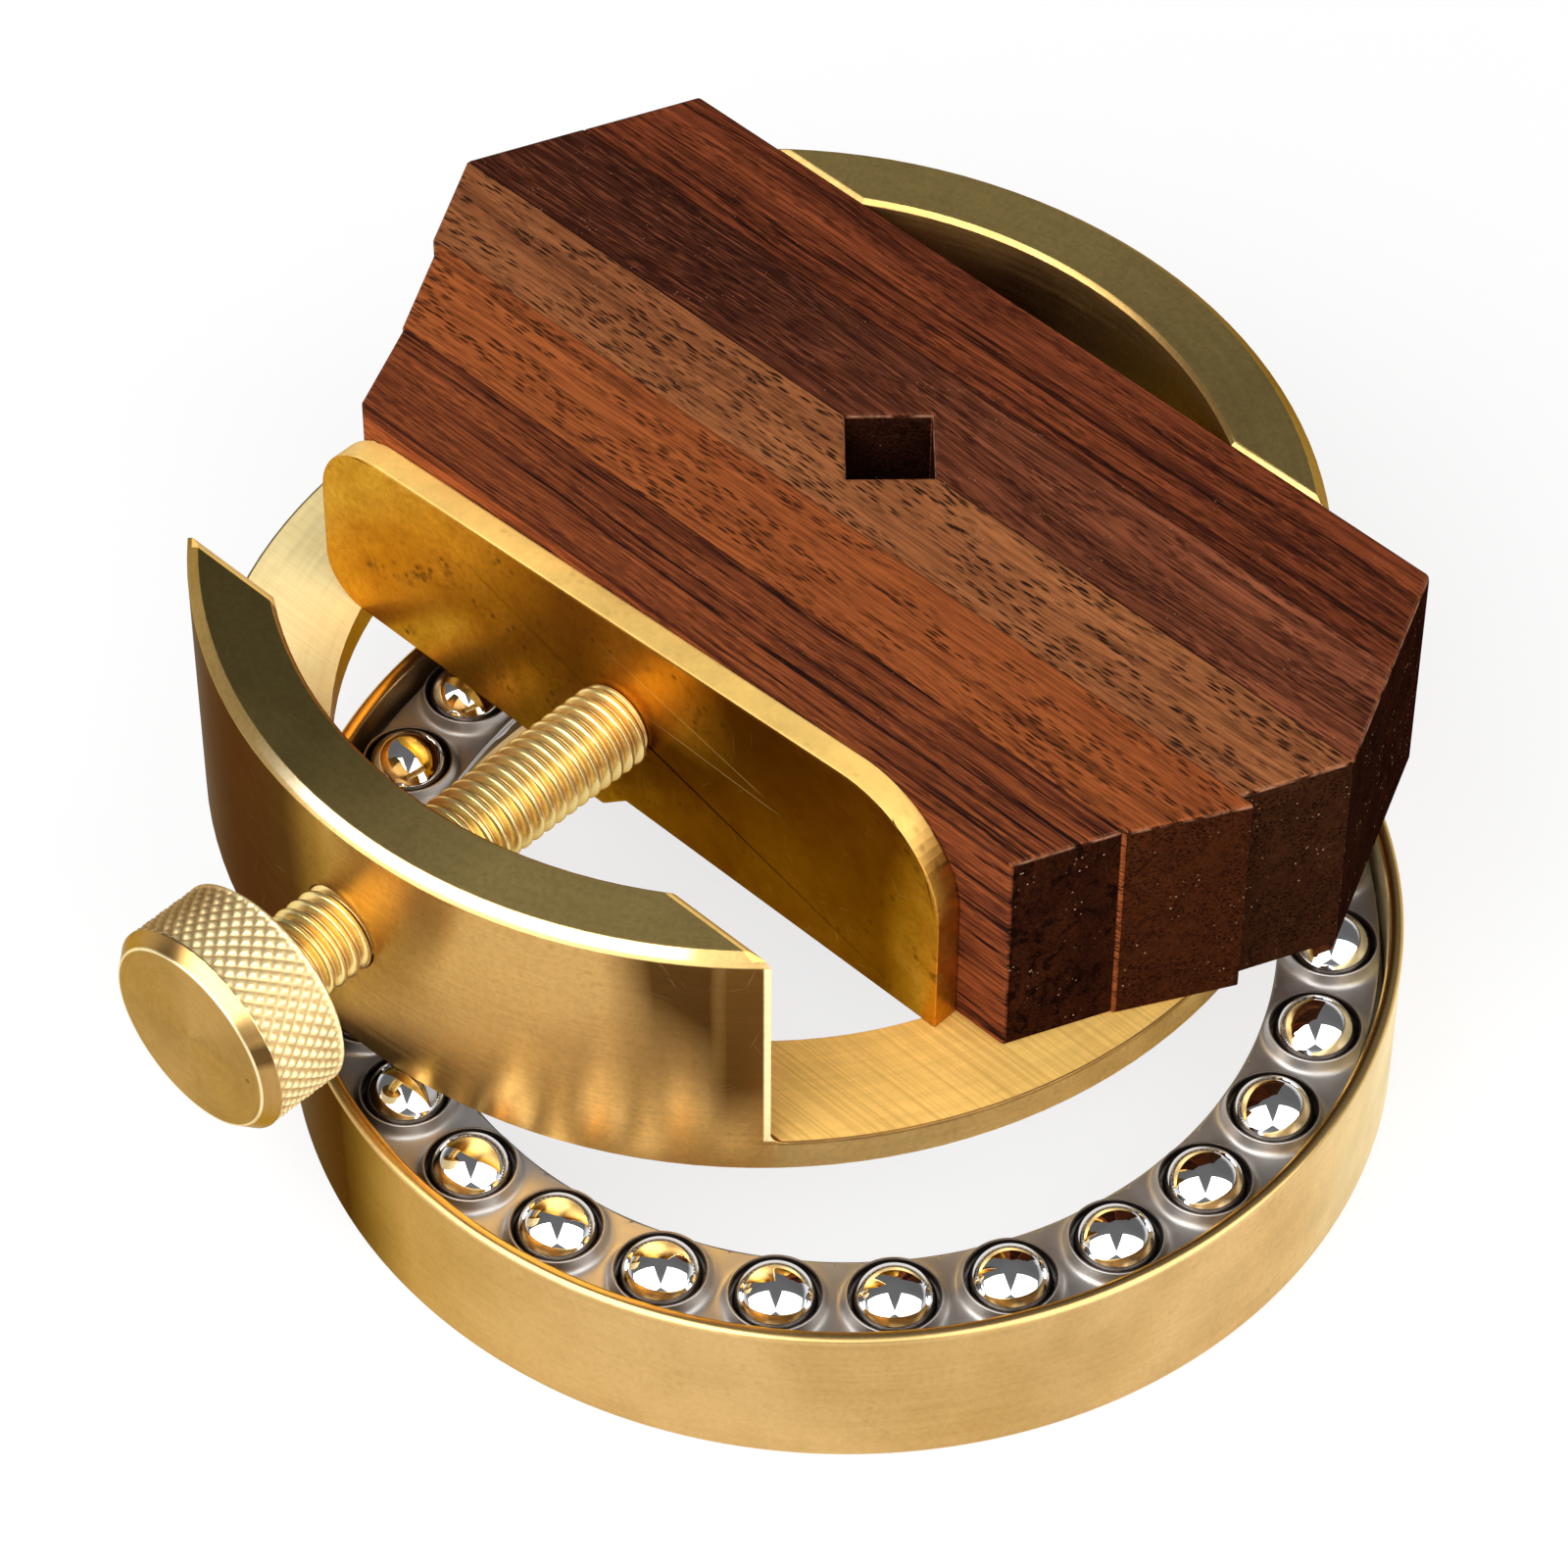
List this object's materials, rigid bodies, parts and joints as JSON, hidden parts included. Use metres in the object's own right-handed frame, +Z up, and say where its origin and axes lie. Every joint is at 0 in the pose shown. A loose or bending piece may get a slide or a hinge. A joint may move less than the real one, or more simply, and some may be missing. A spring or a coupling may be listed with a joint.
{
  "type": "ball vise",
  "caption": "Round bench vise turning on a ring of caged balls, with hardwood strip jaws, a pressure plate and a knurled clamp screw.",
  "frame": {"origin": "axis of the base ring at its underside, on the table", "axes": "+Z up; +X right and +Y away when the clamp screw points to the front left"},
  "size_m": [0.1297, 0.1442, 0.0504],
  "materials": {
    "base_metal": "satin",
    "body_metal": "satin",
    "plate_metal": "worn satin",
    "screw_metal": "polished",
    "knob_metal": "satin",
    "cage_metal": "satin",
    "race_steel": "ground",
    "ball_steel": "polished",
    "wood_a": "oiled",
    "wood_b": "oiled",
    "wood_c": "oiled",
    "wood_d": "oiled",
    "wood_e": "oiled"
  },
  "bodies": {
    "base": {"base_ring": "base_metal", "lower_race": "race_steel"},
    "cage": {"cage_upper": "cage_metal", "cage_lower": "cage_metal", "ball_01": "ball_steel", "ball_02": "ball_steel", "ball_03": "ball_steel", "ball_04": "ball_steel", "ball_05": "ball_steel", "ball_06": "ball_steel", "ball_07": "ball_steel", "ball_08": "ball_steel", "ball_09": "ball_steel", "ball_10": "ball_steel", "ball_11": "ball_steel", "ball_12": "ball_steel", "ball_13": "ball_steel", "ball_14": "ball_steel", "ball_15": "ball_steel", "ball_16": "ball_steel", "ball_17": "ball_steel", "ball_18": "ball_steel", "ball_19": "ball_steel", "ball_20": "ball_steel", "ball_21": "ball_steel", "ball_22": "ball_steel", "ball_23": "ball_steel", "ball_24": "ball_steel", "ball_25": "ball_steel", "ball_26": "ball_steel", "ball_27": "ball_steel"},
    "carrier": {"upper_race": "race_steel"},
    "vise": {"vise_body": "body_metal", "jaw_strip_d": "wood_d", "jaw_strip_e": "wood_e"},
    "front_jaw": {"pressure_plate": "plate_metal", "jaw_strip_a": "wood_a", "jaw_strip_b": "wood_b", "jaw_strip_c": "wood_c"},
    "screw": {"clamp_screw": "screw_metal", "knob": "knob_metal", "retaining_clip": "race_steel"}
  },
  "joints": [
    {"name": "cage_spin", "type": "hinge", "parent": "base", "child": "cage", "pos_m": [0, 0, 0.01451], "axis": [0, 0, 1], "continuous": true},
    {"name": "centring_slide", "type": "slide", "parent": "base", "child": "carrier", "axis": [0.3636, -0.9315, 0], "range_m": [0, 0.02335]},
    {"name": "swivel", "type": "hinge", "parent": "carrier", "child": "vise", "pos_m": [-0.00849, 0.02175, 0.01892], "axis": [0, 0, 1], "continuous": true},
    {"name": "jaw_slide", "type": "slide", "parent": "vise", "child": "front_jaw", "axis": [-0.6984, -0.7157, 0], "range_m": [0, 0.0205]},
    {"name": "screw_turn", "type": "hinge", "parent": "front_jaw", "child": "screw", "pos_m": [-0.00956, 0.0228, 0.03503], "axis": [-0.6984, -0.7157, 0], "range_deg": [0, 4655]}
  ],
  "couplings": [
    {"joint": "cage_spin", "follows": "swivel", "ratio": 0.5},
    {"joint": "screw_turn", "follows": "jaw_slide", "rad_per_m": 3957.9}
  ]
}
